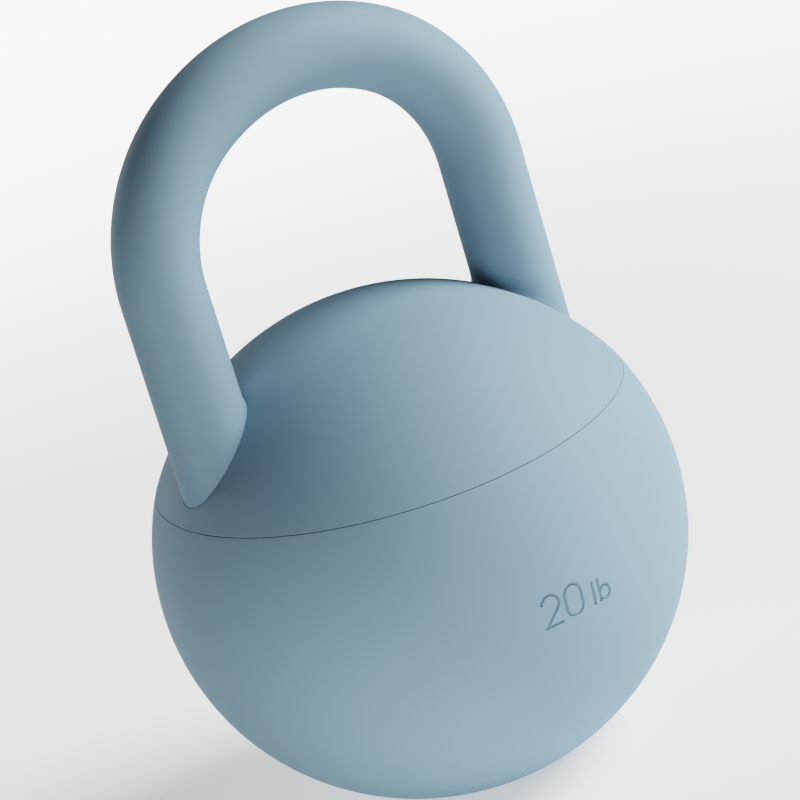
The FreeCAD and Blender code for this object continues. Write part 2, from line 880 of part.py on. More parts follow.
def make_pieces():
    bore = make_leg_bore()
    bores = [bore, mirrored(bore, "leg_bore_left")]
    collar, seal, plug = make_collar(), make_seal(), make_plug()
    bolt, washer = make_anchor_bolt(), make_anchor_washer()

    lower_liner = make_lower_liner()
    plate = make_anchor_plate()
    nut = make_coupling_nut()
    bolts = grouped([bolt, mirrored(bolt, "anchor_bolt_left")], "anchor_bolts")
    washers = grouped([washer, mirrored(washer, "anchor_washer_left")], "anchor_washers")
    core_bore = S.core_radius - S.core_wall
    return [
        make_lower_skin(make_mark()),
        make_upper_skin(bores),
        make_bent_tube("handle_grip", S.grip_radius, S.core_radius, S.grip_foot),
        make_base_pad(),
        lower_liner,
        make_upper_liner(bores),
        make_seam_gasket(),
        make_bent_tube("handle_core", S.core_radius, core_bore, S.leg_foot),
        collar,
        mirrored(collar, "core_collar_left"),
        seal,
        mirrored(seal, "leg_seal_left"),
        plug,
        mirrored(plug, "leg_plug_left"),
        plate,
        bolts,
        washers,
        nut,
        make_tie_bolt(),
        make_tie_washer(),
        make_tie_tube(),
        make_ballast([lower_liner, plate, bolts, washers, nut]),
    ]


def check(pieces):
    """Stop if any object failed, or if any piece isn't a valid solid."""
    for item in doc.Objects:
        if "Invalid" in item.State or "Error" in item.State:
            raise ValueError(f"{item.Label} failed: {item.State}")
    for piece in pieces:
        if piece.Shape.isNull() or not piece.Shape.isValid() or not piece.Shape.Solids:
            raise ValueError(f"{piece.Label} is not a valid solid")


pieces = make_pieces()
doc.recompute()
check(pieces)
os.makedirs("parts", exist_ok=True)
for piece in pieces:
    piece.Shape.exportStep(f"parts/{piece.Label}.step")
    print(piece.Label, len(piece.Shape.Solids), "solid(s)", round(piece.Shape.Volume / 1000, 2), "cm3")
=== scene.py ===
"""Looks of the kettlebell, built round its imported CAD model. Metres, in the CAD's own frame."""
import json
import math

import bpy
import numpy as np
from mathutils import Matrix, Vector
from mathutils.geometry import delaunay_2d_cdt


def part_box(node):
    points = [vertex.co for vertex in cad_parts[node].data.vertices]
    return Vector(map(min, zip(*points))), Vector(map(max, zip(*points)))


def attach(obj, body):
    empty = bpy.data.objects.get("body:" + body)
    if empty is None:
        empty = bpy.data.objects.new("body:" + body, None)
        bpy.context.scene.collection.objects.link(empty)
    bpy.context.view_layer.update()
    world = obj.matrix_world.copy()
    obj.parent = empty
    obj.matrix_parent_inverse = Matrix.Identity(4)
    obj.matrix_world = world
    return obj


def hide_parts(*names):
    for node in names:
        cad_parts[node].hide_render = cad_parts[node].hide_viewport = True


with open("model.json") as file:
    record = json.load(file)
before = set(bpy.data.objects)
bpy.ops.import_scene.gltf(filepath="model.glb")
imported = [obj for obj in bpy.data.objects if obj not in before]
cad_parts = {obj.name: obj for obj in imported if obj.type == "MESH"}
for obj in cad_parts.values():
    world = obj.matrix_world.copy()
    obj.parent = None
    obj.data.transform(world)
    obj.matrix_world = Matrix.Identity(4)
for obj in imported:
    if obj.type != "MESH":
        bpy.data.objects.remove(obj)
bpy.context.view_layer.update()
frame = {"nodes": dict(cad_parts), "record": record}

MM = 0.001

# ---------------------------------------------------------------------------------------------
# sizes: the CAD's driving curves, and levels read from the frame

BALL_RADIUS = 100.0 * MM
BELLY_HEIGHT = 91.0 * MM
SIDE_CURVE = 96.5 * MM
BASE_CURVE = 103.88 * MM
DOME_CURVE = 104.0 * MM
SEAM_HEIGHT = 134.0 * MM
SKIN_WALL = 2.0 * MM
GRIP_RADIUS = 15.75 * MM
CORE_RADIUS = 12.7 * MM
LEG_OFFSET = 69.7 * MM
SHOULDER_HEIGHT = 216.1 * MM
SHOULDER_CURVE = 62.2 * MM
CROWN_CURVE = 76.9 * MM
PAD_CLEARANCE = 0.2 * MM
PAD_EDGE = 0.6 * MM

LOWER_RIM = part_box("lower_skin")[1].z
SKIN_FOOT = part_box("lower_skin")[0].z
UPPER_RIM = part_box("upper_skin")[0].z
GRIP_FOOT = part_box("handle_grip")[0].z
PAD_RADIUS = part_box("base_pad")[1].y
PAD_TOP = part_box("base_pad")[1].z
PAD_HOLE = PAD_RADIUS + PAD_CLEARANCE

# centres of the ball's arcs, as (radius, height)
SIDE_CENTRE = (BALL_RADIUS - SIDE_CURVE, BELLY_HEIGHT)
BASE_CENTRE = (0.0, BELLY_HEIGHT + math.sqrt((BASE_CURVE - SIDE_CURVE) ** 2 - SIDE_CENTRE[0] ** 2))
SEAM_RADIUS = SIDE_CENTRE[0] + math.sqrt(SIDE_CURVE**2 - (SEAM_HEIGHT - BELLY_HEIGHT) ** 2)
DOME_CENTRE = SEAM_HEIGHT - math.sqrt(DOME_CURVE**2 - SEAM_RADIUS**2)

# how finely the bowl's skin is divided
BOWL_RISE = 1.6 * MM
BOWL_TURN = math.radians(2)
INSIDE_ROWS = 30
ROUND_ROWS = 7
HOLE_ROWS = 5
FLAT_ROWS = 4

# how finely the dome's skin is divided: round its edges, inwards from them, and in the web between
RIM_COUNT = 480
LEG_COUNT = 160
RIM_STEPS = np.array([0.25, 0.7]) * MM
RIM_ROOM = 1.2 * MM
LEG_STEPS = np.array([0.08, 0.16, 0.26, 0.38, 0.55, 0.8, 1.2, 1.8, 2.6, 3.6]) * MM
DOME_WEB = 1.7 * MM
SAME_POINT = 1e-7

# how finely the grip and the pad are divided; the grip's first rows are by their rise over the dome
GRIP_COUNT = 144
GRIP_RISES = np.array([0.0, 0.04, 0.1, 0.17, 0.25, 0.35, 0.45, 0.55, 0.7, 0.9, 1.2, 1.6, 2.1, 2.8, 3.6,
                       4.6, 6.0, 7.8, 10.0, 13.0, 16.0, 20.0]) * MM
LEG_ROWS = 13
SHOULDER_ROWS = 44
CROWN_ROWS = 56
PAD_COUNT = 240
PAD_EDGE_ROWS = 6
TREAD_ROWS = 9

# small visible detail: the seam's edges, the grip's lip on the dome, and the edges of the holes
RIM_ROUND = 0.09 * MM
LIP_OUTSIDE = 0.1 * MM
LIP_INSIDE = 0.7 * MM
LIP_FADE = 1.2 * MM
LIP_ROUND = 0.15 * MM
LIP_DEPTH = 0.1 * MM
HOLE_ROUND = 0.3 * MM
LEG_GAP = 0.05 * MM
BASE_EDGE = 0.8 * MM

# the pad's treads: grooves with lands between them, from its edge in to a smooth middle, whose
# rows stop just short of the axis
TREAD_GROOVE = 1.4 * MM
TREAD_LAND = 2.6 * MM
TREAD_DEPTH = 0.5 * MM
TREAD_FULLNESS = 0.6
PAD_MIDDLE = (4 * MM, 1 * MM, 0.2 * MM)
PAD_CENTRE = 0.01 * MM

# the weight mark: single strokes on one level, engraved in the front of the lower skin
MARK_DEPTH = 0.8 * MM
MARK_STROKE = 0.9 * MM
MARK_FOOT = 78.2 * MM
MARK_LEFT = -13.0 * MM
DIGIT_WIDTH = 6.9 * MM
DIGIT_HEIGHT = 11.8 * MM
LETTER_HEIGHT = 8.4 * MM
BOWL_WIDTH = 4.6 * MM
HOOK_START = math.radians(165)
MARK_SPACE = 2.6 * MM
MARK_WALL = 0.25 * MM
MARK_MARGIN = 1.5 * MM
MARK_GRID = 0.14 * MM


# ---------------------------------------------------------------------------------------------
# mesh helpers


def new_object(name, points, faces):
    """A smooth-shaded mesh object from an (n, 3) array and a list of faces."""
    mesh = bpy.data.meshes.new(name)
    mesh.from_pydata(points.tolist(), [], faces)
    mesh.validate()
    mesh.shade_smooth()
    piece = bpy.data.objects.new(name, mesh)
    bpy.context.scene.collection.objects.link(piece)
    return piece


def grid_faces(rows, columns):
    """Quads between neighbouring rows of a grid that closes on itself both ways."""
    row, column = np.arange(rows)[:, None], np.arange(columns)[None, :]
    next_row, next_column = (row + 1) % rows, (column + 1) % columns
    corners = [
        row * columns + column,
        row * columns + next_column,
        next_row * columns + next_column,
        next_row * columns + column,
    ]
    return np.stack(corners, -1).reshape(-1, 4).tolist()


def turned(profile, angles):
    """Points of a surface of revolution: a row for each (radius, height), a column for each angle.

    Angle 0 is the front, -Y, and it grows towards +X.
    """
    radius, height = profile[:, 0][:, None], profile[:, 1][:, None]
    points = [radius * np.sin(angles), -radius * np.cos(angles), height + 0 * angles]
    return np.stack(points, -1)


def arc_points(centre, radius, start, end, count):
    """Points (radius, height) on an arc, by angle in radians from the outward horizontal."""
    angle = np.linspace(start, end, count)
    return np.stack([centre[0] + radius * np.cos(angle), centre[1] + radius * np.sin(angle)], -1)


def smooth_step(x):
    """0 up to 0 and 1 from 1 on, with an S-shaped rise between them."""
    x = np.clip(x, 0, 1)
    return x * x * (3 - 2 * x)


# ---------------------------------------------------------------------------------------------
# the ball's form


def bowl_reach(height, depth=0.0):
    """Radius of the bowl's surface, offset inwards by depth, at an array of heights."""
    height = np.asarray(height, float)
    side = SIDE_CENTRE[0] + np.sqrt(np.maximum((SIDE_CURVE - depth) ** 2 - (height - BELLY_HEIGHT) ** 2, 0))
    base = np.sqrt(np.maximum((BASE_CURVE - depth) ** 2 - (BASE_CENTRE[1] - height) ** 2, 0))
    share = (BASE_CURVE - depth) / (BASE_CURVE - SIDE_CURVE)
    meeting = BASE_CENTRE[1] - (BASE_CENTRE[1] - BELLY_HEIGHT) * share
    return np.where(height < meeting, base, side)


def bowl_normal(radius, height):
    """Outward direction (radius, height) of the bowl's surface at points on it."""
    share = BASE_CURVE / (BASE_CURVE - SIDE_CURVE)
    meeting = BASE_CENTRE[1] - (BASE_CENTRE[1] - BELLY_HEIGHT) * share
    low = height < meeting
    across = radius - np.where(low, 0.0, SIDE_CENTRE[0])
    up = height - np.where(low, BASE_CENTRE[1], BELLY_HEIGHT)
    length = np.hypot(across, up)
    return across / length, up / length


def dome_height(reach, rise=0.0):
    """Height of the dome's surface, raised along its normal by rise, at a distance from the axis."""
    return DOME_CENTRE + np.sqrt(np.maximum((DOME_CURVE + rise) ** 2 - reach**2, 0))


# ---------------------------------------------------------------------------------------------
# the weight mark, as distances from its centre lines


def to_segment(x, z, start, end):
    """Distance to a straight stroke."""
    run = np.array(end) - np.array(start)
    share = ((x - start[0]) * run[0] + (z - start[1]) * run[1]) / (run @ run)
    share = np.clip(share, 0, 1)
    return np.hypot(x - start[0] - share * run[0], z - start[1] - share * run[1])


def to_arc(x, z, centre, radius, start, end):
    """Distance to the arc that turns left from angle start to angle end, in radians."""
    across, up = x - centre[0], z - centre[1]
    turn = (np.arctan2(up, across) - start) % (2 * math.pi)
    ends = [(centre[0] + radius * math.cos(a), centre[1] + radius * math.sin(a)) for a in (start, end)]
    to_ends = np.minimum(*[np.hypot(x - p[0], z - p[1]) for p in ends])
    return np.where(turn <= end - start, np.abs(np.hypot(across, up) - radius), to_ends)


def to_stadium(x, z, left, foot, width, height):
    """Distance to a closed stroke of two upright sides joined by half circles."""
    radius = width / 2
    middle = left + radius
    low, high = foot + radius, foot + height - radius
    level = z - np.clip(z, low, high)
    return np.abs(np.hypot(x - middle, level) - radius)


def to_two(x, z, left, foot, width, height):
    """Distance to an open hook, the slope that leaves it at a tangent, and a flat foot."""
    radius = width / 2
    centre = (left + radius, foot + height - radius)
    drop = centre[1] - foot
    touch = math.atan2(-drop, -radius) + math.acos(radius / math.hypot(radius, drop))
    touching = (centre[0] + radius * math.cos(touch), centre[1] + radius * math.sin(touch))
    hook = to_arc(x, z, centre, radius, touch, HOOK_START)
    slope = to_segment(x, z, touching, (left, foot))
    return np.minimum(np.minimum(hook, slope), to_segment(x, z, (left, foot), (left + width, foot)))


def to_mark(x, z):
    """Distance from points of the front to the nearest stroke of the mark."""
    nought = MARK_LEFT + DIGIT_WIDTH + MARK_SPACE
    stem = nought + DIGIT_WIDTH + 2 * MARK_SPACE
    second_stem = stem + MARK_SPACE
    strokes = [
        to_two(x, z, MARK_LEFT, MARK_FOOT, DIGIT_WIDTH, DIGIT_HEIGHT),
        to_stadium(x, z, nought, MARK_FOOT, DIGIT_WIDTH, DIGIT_HEIGHT),
        to_segment(x, z, (stem, MARK_FOOT), (stem, MARK_FOOT + LETTER_HEIGHT)),
        to_segment(x, z, (second_stem, MARK_FOOT), (second_stem, MARK_FOOT + LETTER_HEIGHT)),
        to_stadium(x, z, second_stem, MARK_FOOT, BOWL_WIDTH, BOWL_WIDTH + MARK_STROKE / 2),
    ]
    return np.min(strokes, axis=0)


# ---------------------------------------------------------------------------------------------
# pieces


def graded(low, high, coarse, fine_low, fine_high, fine):
    """Values from low to high, in coarse steps outside the fine stretch and fine steps in it."""
    parts = [
        np.linspace(low, fine_low, max(2, round((fine_low - low) / coarse)), endpoint=False),
        np.linspace(fine_low, fine_high, round((fine_high - fine_low) / fine), endpoint=False),
        np.linspace(fine_high, high, max(2, round((high - fine_high) / coarse)) + 1),
    ]
    return np.concatenate(parts)


def rounded_rim(centre, curve, level, side):
    """Points (radius, height) of the small round between an arc of the ball and its flat rim.

    They start on the arc, at a tangent. side is 1 for a rim on top and -1 for one underneath.
    """
    middle = level - side * RIM_ROUND
    turn = math.asin((middle - centre[1]) / (curve - RIM_ROUND))
    reach = centre[0] + (curve - RIM_ROUND) * math.cos(turn)
    return arc_points((reach, middle), RIM_ROUND, turn, side * math.pi / 2, ROUND_ROWS)


def bowl_profile():
    """Outline (radius, height) of the bowl's skin, and which of its rows lie on the outside."""
    hole_centre = (PAD_HOLE + HOLE_ROUND, SKIN_FOOT + HOLE_ROUND)
    hole = arc_points(hole_centre, HOLE_ROUND, -math.pi, -math.pi / 2, HOLE_ROWS)
    rim = rounded_rim(SIDE_CENTRE, SIDE_CURVE, LOWER_RIM, 1)
    band = (MARK_FOOT - MARK_MARGIN, MARK_FOOT + DIGIT_HEIGHT + MARK_MARGIN)
    heights = graded(SKIN_FOOT, rim[0, 1], BOWL_RISE, *band, MARK_GRID)
    outside = np.stack([bowl_reach(heights), heights], -1)
    flat = np.linspace(hole[-1, 0] + HOLE_ROUND / 3, outside[0, 0] - BASE_EDGE, FLAT_ROWS)
    flat = np.stack([flat, np.full(len(flat), SKIN_FOOT)], -1)

    inner_curve = SIDE_CURVE - SKIN_WALL
    inner_foot = SKIN_FOOT + SKIN_WALL
    ends = [math.asin((height - BELLY_HEIGHT) / inner_curve) for height in (LOWER_RIM, inner_foot)]
    heights = BELLY_HEIGHT + inner_curve * np.sin(np.linspace(*ends, INSIDE_ROWS))
    inside = np.stack([bowl_reach(heights, SKIN_WALL), heights], -1)
    top_of_hole = np.array([[PAD_HOLE, inner_foot]])
    profile = np.concatenate([hole, flat, outside, rim[1:], inside, top_of_hole])
    first = len(hole) + len(flat)
    return profile, slice(first, first + len(outside))


def engraved(surface, angles):
    """A grid of points on the bowl's outside, with the strokes of the mark sunk into its front."""
    x, y, z = surface[..., 0], surface[..., 1], surface[..., 2]
    distance = np.where(y < 0, to_mark(x, z), BALL_RADIUS)
    depth = MARK_DEPTH * smooth_step((MARK_STROKE / 2 + MARK_WALL / 2 - distance) / MARK_WALL)
    across, up = bowl_normal(np.hypot(x, y), z)
    inward = np.stack([-across * np.sin(angles), across * np.cos(angles), -up], -1)
    return surface + depth[..., None] * inward


def make_lower_skin():
    """The bowl's soft skin: a closed shell with a rounded rim, a pad hole and the engraved mark."""
    profile, outside = bowl_profile()
    mark_right = MARK_LEFT + 2 * DIGIT_WIDTH + 4 * MARK_SPACE + BOWL_WIDTH
    left, right = (MARK_LEFT - MARK_MARGIN) / BALL_RADIUS, (mark_right + MARK_MARGIN) / BALL_RADIUS
    angles = graded(-math.pi, math.pi, BOWL_TURN, left, right, MARK_GRID / BALL_RADIUS)[:-1]
    points = turned(profile, angles)
    points[outside] = engraved(points[outside], angles)
    faces = grid_faces(len(profile), len(angles))
    return new_object("bowl_skin_piece", points.reshape(-1, 3), faces)


def ring(centre, radius, count):
    """Points on a circle seen from above, the first of them towards +X."""
    angle = np.linspace(0, 2 * math.pi, count, endpoint=False)
    return np.stack([centre[0] + radius * np.cos(angle), centre[1] + radius * np.sin(angle)], -1)


def bridge(first, second):
    """Quads between two closed rings of point numbers."""
    return np.stack([first, second, np.roll(second, -1), np.roll(first, -1)], -1).tolist()


def from_legs(points):
    """Distance of plan points from the nearer leg's axis."""
    return np.min([np.hypot(points[:, 0] - side * LEG_OFFSET, points[:, 1]) for side in (1, -1)], axis=0)


def dome_plan(rim_reach, hole_radius):
    """The dome seen from above: its points, its triangles, and the rings of its rim and leg holes."""
    legs = [(side * LEG_OFFSET, 0.0) for side in (1, -1)]
    edge_rings = [ring((0, 0), rim_reach, RIM_COUNT)]
    edge_rings += [ring(leg, hole_radius, LEG_COUNT) for leg in legs]
    ends = np.cumsum([0] + [len(loop) for loop in edge_rings])
    loops = [np.arange(start, end) for start, end in zip(ends[:-1], ends[1:])]
    edges = np.concatenate([np.stack([loop, np.roll(loop, -1)], -1) for loop in loops])

    leg_room = hole_radius + LEG_STEPS[-1]
    rim_room = rim_reach - RIM_ROOM
    near_rim = np.concatenate([ring((0, 0), rim_reach - step, RIM_COUNT) for step in RIM_STEPS])
    near_legs = [ring(leg, hole_radius + step, LEG_COUNT) for leg in legs for step in LEG_STEPS]
    near_legs = np.concatenate(near_legs)
    reaches = np.arange(DOME_WEB, rim_room, DOME_WEB)
    counts = np.ceil(2 * math.pi * reaches / DOME_WEB).astype(int)
    web = np.concatenate([ring((0, 0), reach, count) for reach, count in zip(reaches, counts)])
    middle = np.zeros((1, 2))
    plan = np.concatenate([
        *edge_rings,
        near_rim[from_legs(near_rim) > leg_room],
        near_legs[np.hypot(*near_legs.T) < rim_room],
        web[from_legs(web) > leg_room + DOME_WEB / 2],
        middle,
    ])

    found = delaunay_2d_cdt([Vector(point) for point in plan.tolist()], edges.tolist(), [], 0, SAME_POINT)
    plan, triangles = np.array([tuple(point) for point in found[0]]), np.array(found[2])
    where = {source: number for number, sources in enumerate(found[3]) for source in sources}
    loops = [np.array([where[source] for source in loop.tolist()]) for loop in loops]
    for hole in loops[1:]:
        triangles = triangles[~np.isin(triangles, hole).all(axis=1)]
    return plan, triangles, loops


def make_upper_skin():
    """The dome's soft skin: laid out in plan, with a round hole for each leg, then given thickness."""
    rim = rounded_rim((0.0, DOME_CENTRE), DOME_CURVE, UPPER_RIM, -1)
    rim_reach = rim[0, 0]
    hole_radius = GRIP_RADIUS + LEG_GAP
    plan, triangles, (rim_loop, *hole_loops) = dome_plan(rim_reach, hole_radius)

    reach = np.hypot(*plan.T)
    from_edge = np.clip(HOLE_ROUND - (from_legs(plan) - hole_radius), 0, HOLE_ROUND)
    drop = HOLE_ROUND - np.sqrt(HOLE_ROUND**2 - from_edge**2)
    outer = np.column_stack([plan, dome_height(reach) - drop])

    # the inside keeps to the leg holes, and only past them does it draw in towards its own rim
    clear = LEG_OFFSET + hole_radius
    inner_rim = math.sqrt((DOME_CURVE - SKIN_WALL) ** 2 - (UPPER_RIM - DOME_CENTRE) ** 2)
    share = (inner_rim - clear) / (rim_reach - clear)
    inner_reach = np.where(reach > clear, clear + (reach - clear) * share, reach)
    inner_plan = plan * (inner_reach / np.maximum(reach, MM))[:, None]
    inner = np.column_stack([inner_plan, dome_height(inner_reach, -SKIN_WALL)])

    count = len(plan)
    faces = triangles.tolist() + (triangles[:, ::-1] + count).tolist()
    for loop in hole_loops:
        faces += bridge(loop + count, loop)
    outward = plan[rim_loop] / rim_reach
    rows = [np.column_stack([outward * radius, np.full(RIM_COUNT, height)]) for radius, height in rim[1:]]
    loops = [2 * count + row * RIM_COUNT + np.arange(RIM_COUNT) for row in range(len(rows))]
    loops = [rim_loop, *loops, rim_loop + count]
    for first, second in zip(loops[:-1], loops[1:]):
        faces += bridge(first, second)
    return new_object("dome_skin_piece", np.concatenate([outer, inner, *rows]), faces)


def lip_offset(rise, turn):
    """How far the grip stands out past its tube at a distance from the dome: a flare, then a round.

    The flare is fuller on the side that faces the other leg, where turn is half a circle.
    """
    flare = LIP_OUTSIDE + (LIP_INSIDE - LIP_OUTSIDE) * (1 - np.cos(turn)) / 2
    flare = flare * np.exp(-rise / LIP_FADE)
    under = np.clip(LIP_ROUND - rise, 0, LIP_ROUND)
    return flare - (LIP_ROUND - np.sqrt(LIP_ROUND**2 - under**2))


def leg_rows(turn, side):
    """Rows of points round one leg: hidden in its socket, over its lip, and up to the shoulder."""
    x, y = LEG_OFFSET + GRIP_RADIUS * np.cos(turn), GRIP_RADIUS * np.sin(turn)
    contact = dome_height(np.hypot(x, y), -LIP_DEPTH)
    rows = []
    for share in (0.0, 0.5, 1.0):
        rows.append(np.stack([side * x, y, GRIP_FOOT + (contact - GRIP_FOOT) * share], -1))
    for rise in GRIP_RISES:
        radius = GRIP_RADIUS + lip_offset(rise, turn)
        lip_x, lip_y = LEG_OFFSET + radius * np.cos(turn), radius * np.sin(turn)
        rows.append(np.stack([side * lip_x, lip_y, dome_height(np.hypot(lip_x, lip_y), rise)], -1))
    top = rows[-1][:, 2]
    for share in np.linspace(0, 1, LEG_ROWS + 1)[1:]:
        rows.append(np.stack([side * x, y, top + (SHOULDER_HEIGHT - top) * share], -1))
    return rows


def arch_rows(radius, turn):
    """Rows of points round the arch from the right shoulder over the crown to the left one."""
    inset = LEG_OFFSET - SHOULDER_CURVE
    reach = CROWN_CURVE - SHOULDER_CURVE
    drop = math.sqrt(reach**2 - inset**2)
    lean = math.atan2(drop, inset)
    arcs = [
        ((inset, SHOULDER_HEIGHT), SHOULDER_CURVE, 0, lean, SHOULDER_ROWS),
        ((0.0, SHOULDER_HEIGHT - drop), CROWN_CURVE, lean, math.pi - lean, CROWN_ROWS),
        ((-inset, SHOULDER_HEIGHT), SHOULDER_CURVE, math.pi - lean, math.pi, SHOULDER_ROWS),
    ]
    rows = []
    for centre, curve, start, end, count in arcs:
        for angle in np.linspace(start, end, count + 1)[1:]:
            out = curve + radius * np.cos(turn)
            x, z = centre[0] + out * math.cos(angle), centre[1] + out * math.sin(angle)
            rows.append(np.stack([x, radius * np.sin(turn), z], -1))
    return rows[:-1]


def bore_row(turn, side, height):
    """A row of points round the hole for the core in one leg."""
    x = side * (LEG_OFFSET + CORE_RADIUS * np.cos(turn))
    return np.stack([x, CORE_RADIUS * np.sin(turn), np.full(len(turn), height)], -1)


def make_grip():
    """The handle's soft sleeve: a tube along the arch whose ends flare a little onto the dome."""
    turn = np.linspace(0, 2 * math.pi, GRIP_COUNT, endpoint=False)
    outside = leg_rows(turn, 1) + arch_rows(GRIP_RADIUS, turn) + leg_rows(turn, -1)[::-1]
    inside = [bore_row(turn, -1, GRIP_FOOT), bore_row(turn, -1, SHOULDER_HEIGHT)]
    inside += arch_rows(CORE_RADIUS, turn)[::-1]
    inside += [bore_row(turn, 1, SHOULDER_HEIGHT), bore_row(turn, 1, GRIP_FOOT)]
    points = np.array(outside + inside)
    faces = grid_faces(len(points), len(turn))
    return new_object("grip_piece", points.reshape(-1, 3), faces)


def make_pad():
    """The anti-slip pad: a disc with rounded edges and ring-shaped treads on its underside."""
    edge = arc_points((PAD_RADIUS - PAD_EDGE, PAD_EDGE), PAD_EDGE, 0, -math.pi / 2, PAD_EDGE_ROWS)
    profile = [[PAD_CENTRE, PAD_TOP], [PAD_RADIUS, PAD_TOP], *edge.tolist()]
    reach = PAD_RADIUS - PAD_EDGE - TREAD_LAND
    while reach > 2 * (TREAD_GROOVE + TREAD_LAND):
        for share in np.linspace(0, 1, TREAD_ROWS):
            depth = TREAD_DEPTH * math.sin(math.pi * share) ** TREAD_FULLNESS
            profile.append([reach - TREAD_GROOVE * share, depth])
        reach -= TREAD_GROOVE + TREAD_LAND
    profile += [[radius, 0.0] for radius in (*PAD_MIDDLE, PAD_CENTRE)]
    angles = np.linspace(-math.pi, math.pi, PAD_COUNT, endpoint=False)
    points = turned(np.array(profile[::-1]), angles)
    faces = grid_faces(len(profile), len(angles))
    return new_object("pad_piece", points.reshape(-1, 3), faces)


# ---------------------------------------------------------------------------------------------
# materials

# what a noise texture mostly spans
NOISE_LOW, NOISE_HIGH = 0.3, 0.7

# soft-touch silicone: a tone that drifts, a slight wave and a powdery grain
SILICONE_TONE_SIZE, SILICONE_TONE_SPREAD = 60 * MM, 0.015
SILICONE_WAVE_SIZE, SILICONE_WAVE_DEPTH, SILICONE_WAVE_STRENGTH = 9 * MM, 0.03 * MM, 0.25
SILICONE_GRAIN_SIZE, SILICONE_GRAIN_DEPTH, SILICONE_GRAIN_STRENGTH = 0.35 * MM, 0.012 * MM, 0.35
SILICONE_ROUGHNESS = (0.60, 0.68)
SILICONE_GLOSS = 0.12

# moulded and cast surfaces
CAST_ROUGHNESS_SPREAD = 0.06
CAST_GRAIN_STRENGTH = 0.5

# steel: its marks and how far they change its tone and roughness, down and up
STEEL_MARK_SIZE, STEEL_MARK_DEPTH, STEEL_MARK_STRENGTH = 0.8 * MM, 0.02 * MM, 0.3
STEEL_TONES = (0.86, 1.08)
STEEL_ROUGHNESS_DOWN, STEEL_ROUGHNESS_UP = 0.08, 0.1


def new_material(name):
    """A node material, its nodes and links, and its shader."""
    material = bpy.data.materials.new(name)
    material.use_nodes = True
    nodes, links = material.node_tree.nodes, material.node_tree.links
    return material, nodes, links, nodes["Principled BSDF"]


def noise(nodes, links, size, detail=3.0, stretch=(1, 1, 1)):
    """A noise texture whose features are about size metres, in the object's own space."""
    place = nodes.new("ShaderNodeTexCoord")
    mapping = nodes.new("ShaderNodeMapping")
    mapping.inputs["Scale"].default_value = stretch
    texture = nodes.new("ShaderNodeTexNoise")
    texture.inputs["Scale"].default_value = 1 / size
    texture.inputs["Detail"].default_value = detail
    links.new(place.outputs["Object"], mapping.inputs["Vector"])
    links.new(mapping.outputs["Vector"], texture.inputs["Vector"])
    return texture.outputs["Fac"]


def remap(nodes, links, value, low, high):
    """Spread a noise value over low to high."""
    node = nodes.new("ShaderNodeMapRange")
    node.inputs["From Min"].default_value = NOISE_LOW
    node.inputs["From Max"].default_value = NOISE_HIGH
    node.inputs["To Min"].default_value = low
    node.inputs["To Max"].default_value = high
    links.new(value, node.inputs["Value"])
    return node.outputs["Result"]


def blend_colours(nodes, links, value, first, second):
    """The first colour where value is 0, the second where it is 1, and mixtures between."""
    node = nodes.new("ShaderNodeMix")
    node.data_type = "RGBA"
    links.new(value, node.inputs["Factor"])
    node.inputs["A"].default_value = (*first, 1)
    node.inputs["B"].default_value = (*second, 1)
    return node.outputs["Result"]


def bump(nodes, links, height, distance, strength, under=None):
    """Fine relief from a height, laid over the relief in under where there is one."""
    node = nodes.new("ShaderNodeBump")
    node.inputs["Distance"].default_value = distance
    node.inputs["Strength"].default_value = strength
    links.new(height, node.inputs["Height"])
    if under is not None:
        links.new(under, node.inputs["Normal"])
    return node.outputs["Normal"]


def shade(colour, amount):
    """A colour made darker or lighter by a factor."""
    return tuple(min(1.0, channel * amount) for channel in colour)


def soft_touch(name, colour):
    """Matte soft-touch silicone: an even tone, a fine powdery grain and a dull gloss."""
    material, nodes, links, shader = new_material(name)
    tone = remap(nodes, links, noise(nodes, links, SILICONE_TONE_SIZE), 0, 1)
    dark, light = shade(colour, 1 - SILICONE_TONE_SPREAD), shade(colour, 1 + SILICONE_TONE_SPREAD)
    links.new(blend_colours(nodes, links, tone, dark, light), shader.inputs["Base Color"])
    grain = noise(nodes, links, SILICONE_GRAIN_SIZE, detail=2.0)
    links.new(remap(nodes, links, grain, *SILICONE_ROUGHNESS), shader.inputs["Roughness"])
    wave = noise(nodes, links, SILICONE_WAVE_SIZE, detail=1.0)
    wave = bump(nodes, links, wave, SILICONE_WAVE_DEPTH, SILICONE_WAVE_STRENGTH)
    relief = bump(nodes, links, grain, SILICONE_GRAIN_DEPTH, SILICONE_GRAIN_STRENGTH, wave)
    links.new(relief, shader.inputs["Normal"])
    shader.inputs["Specular IOR Level"].default_value = SILICONE_GLOSS
    return material


def speckled(name, colour, size, spread, roughness, grain_depth):
    """A moulded or cast surface: a mottled tone, uneven roughness and a fine grain."""
    material, nodes, links, shader = new_material(name)
    grain = noise(nodes, links, size, detail=4.0)
    tone = remap(nodes, links, grain, 0, 1)
    dark, light = shade(colour, 1 - spread), shade(colour, 1 + spread)
    links.new(blend_colours(nodes, links, tone, dark, light), shader.inputs["Base Color"])
    smooth, rough = roughness - CAST_ROUGHNESS_SPREAD, roughness + CAST_ROUGHNESS_SPREAD
    links.new(remap(nodes, links, grain, smooth, rough), shader.inputs["Roughness"])
    links.new(bump(nodes, links, grain, grain_depth, CAST_GRAIN_STRENGTH), shader.inputs["Normal"])
    return material


